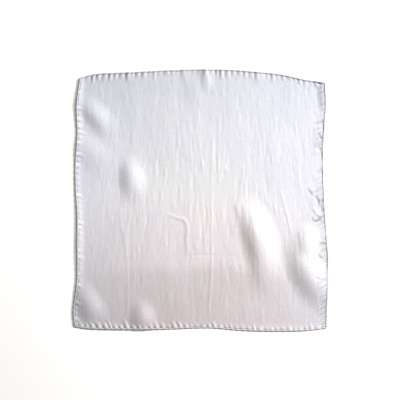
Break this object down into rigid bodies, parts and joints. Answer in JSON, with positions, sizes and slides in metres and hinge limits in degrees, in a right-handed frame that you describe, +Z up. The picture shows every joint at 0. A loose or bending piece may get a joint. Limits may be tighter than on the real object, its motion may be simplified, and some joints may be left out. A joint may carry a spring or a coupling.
{
  "type": "magic silk scarf",
  "caption": "Thin white silk square with a narrow rolled and puckered hem, laid out flat with low soft buckles; for conjuring, juggling and dancing.",
  "frame": {"origin": "on the surface that the scarf lies on, below the middle of its outline", "axes": "+Z up off the surface, +Y towards the scarf's top edge, +X towards its right edge, face up"},
  "size_m": [0.4496, 0.4614, 0.0107],
  "materials": {
    "silk": "white plain-weave silk with a soft sheen and fine crinkles"
  },
  "bodies": {
    "root": {"silk_square": "silk"}
  },
  "joints": []
}
